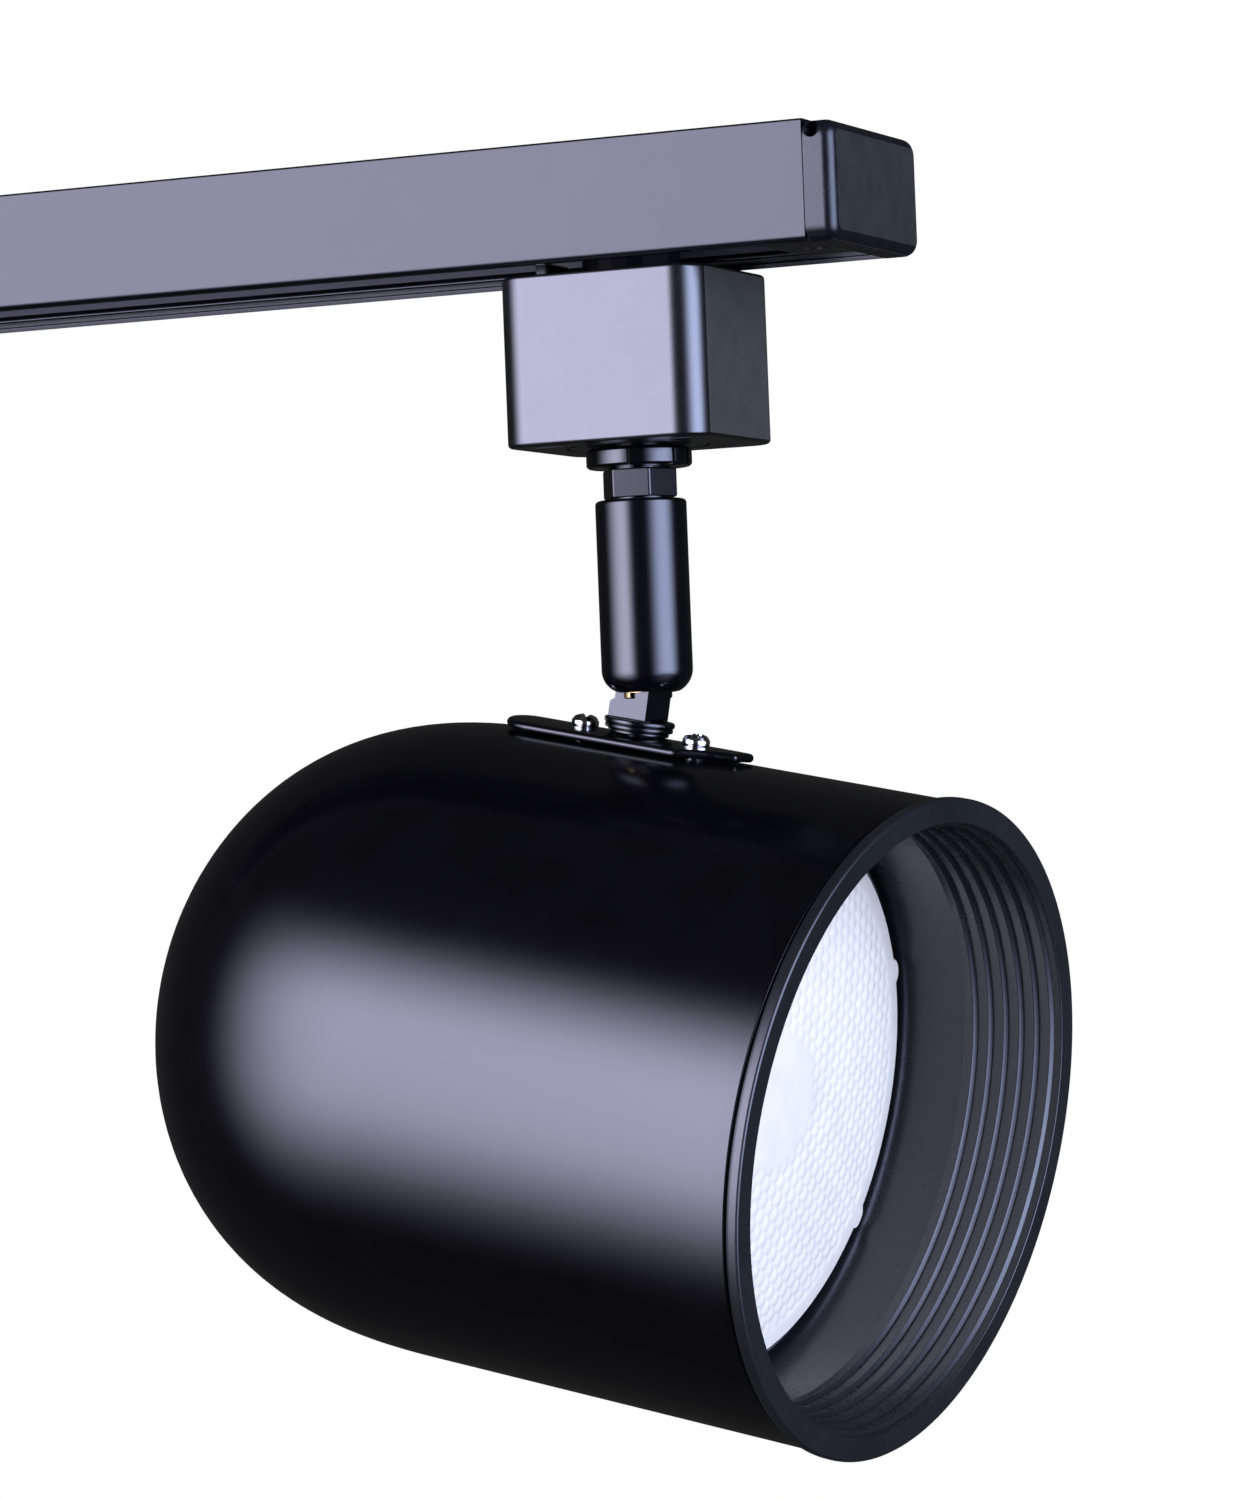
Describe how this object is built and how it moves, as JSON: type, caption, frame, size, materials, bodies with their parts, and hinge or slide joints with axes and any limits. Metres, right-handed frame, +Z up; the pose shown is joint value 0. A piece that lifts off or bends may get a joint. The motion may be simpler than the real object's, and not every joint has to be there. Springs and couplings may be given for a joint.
{
  "type": "track spotlight",
  "caption": "Round-backed black lamp holder with a stepped baffle, on a swivel stem and adapter that slides along a length of power track.",
  "frame": {"origin": "on the track's top face, on the swivel stem's axis", "axes": "+X along the track to its capped end, +Z up out of the track's top face, +Y away from the front"},
  "size_m": [0.3203, 0.118, 0.2169],
  "materials": {
    "track_enamel": "satin black baked enamel on extruded aluminium",
    "black_enamel": "satin black baked enamel",
    "baffle_enamel": "semi-gloss black enamel",
    "black_moulding": "satin black moulded plastic with a fine grain",
    "insulator": "dark grey extruded insulator",
    "copper": "bare copper",
    "brass": "turned brass",
    "zinc_steel": "zinc-plated steel",
    "bright_chrome": "bright nickel-chrome",
    "porcelain": "glazed white porcelain",
    "frosted_glass": "stippled frosted glass",
    "mirrored_glass": "aluminised glass",
    "black_sleeving": "woven glass-fibre sleeving",
    "white_sleeving": "woven glass-fibre sleeving"
  },
  "bodies": {
    "track": {"track_channel": "track_enamel", "liner_near": "insulator", "liner_far": "insulator", "busbar_line": "copper", "busbar_neutral": "copper", "end_cap": "black_moulding", "end_cap_screw": "black_enamel"},
    "adapter": {"adapter_housing": "black_moulding", "adapter_lid": "black_moulding", "adapter_neck": "black_moulding", "contact_line": "copper", "contact_neutral": "copper", "contact_ground": "copper", "lid_screw_front": "zinc_steel", "lid_screw_rear": "zinc_steel", "latch_spring": "zinc_steel", "swivel_collar": "black_moulding", "lead_line_upper": "black_sleeving", "lead_neutral_upper": "white_sleeving"},
    "latch": {"latch_tab": "black_moulding"},
    "stem": {"stem_nipple": "black_enamel", "nipple_locknut": "zinc_steel", "stem_sleeve": "black_enamel", "stem_knuckle": "brass", "tilt_pin": "zinc_steel"},
    "head": {"tilt_bracket": "black_enamel", "tilt_bush": "brass", "bracket_bushing": "black_enamel", "bracket_locknut": "zinc_steel", "saddle_plate": "black_enamel", "saddle_screw_rear": "bright_chrome", "saddle_screw_front": "bright_chrome", "lamp_housing": "black_enamel", "socket_strap": "zinc_steel", "socket_body": "porcelain", "socket_shell": "brass", "socket_contact": "brass", "socket_screw_upper": "zinc_steel", "socket_screw_lower": "zinc_steel", "lead_line_lower": "black_sleeving", "lead_neutral_lower": "white_sleeving"},
    "trim": {"baffle_ring": "baffle_enamel", "baffle_clip_1": "zinc_steel", "baffle_clip_2": "zinc_steel", "baffle_clip_3": "zinc_steel"},
    "lamp": {"lamp_reflector": "mirrored_glass", "lamp_lens": "frosted_glass", "lamp_capsule": "frosted_glass", "lamp_base": "brass", "lamp_insulator": "insulator", "lamp_contact": "brass"}
  },
  "joints": [
    {"name": "adapter_slide", "type": "slide", "parent": "track", "child": "adapter", "axis": [1, 0, 0], "range_m": [-0.24, 0.015]},
    {"name": "latch_press", "type": "slide", "parent": "adapter", "child": "latch", "axis": [0, 0, -1], "range_m": [0, 0.003], "stiffness_N_per_m": 300, "springref_m": -0.003, "deforming": ["latch_spring"]},
    {"name": "stem_pan", "type": "hinge", "parent": "adapter", "child": "stem", "pos_m": [0, 0, -0.0581], "axis": [0, 0, 1], "range_deg": [-167.5, 182.5]},
    {"name": "head_tilt", "type": "hinge", "parent": "stem", "child": "head", "pos_m": [0, 0, -0.0858], "axis": [0.1293, 0.9916, 0], "range_deg": [-11, 63]},
    {"name": "trim_pull", "type": "slide", "parent": "head", "child": "trim", "axis": [0.9728, -0.1269, -0.1939], "range_m": [0, 0.03]},
    {"name": "lamp_withdraw", "type": "slide", "parent": "head", "child": "lamp", "axis": [0.9728, -0.1269, -0.1939], "range_m": [0, 0.11]}
  ]
}
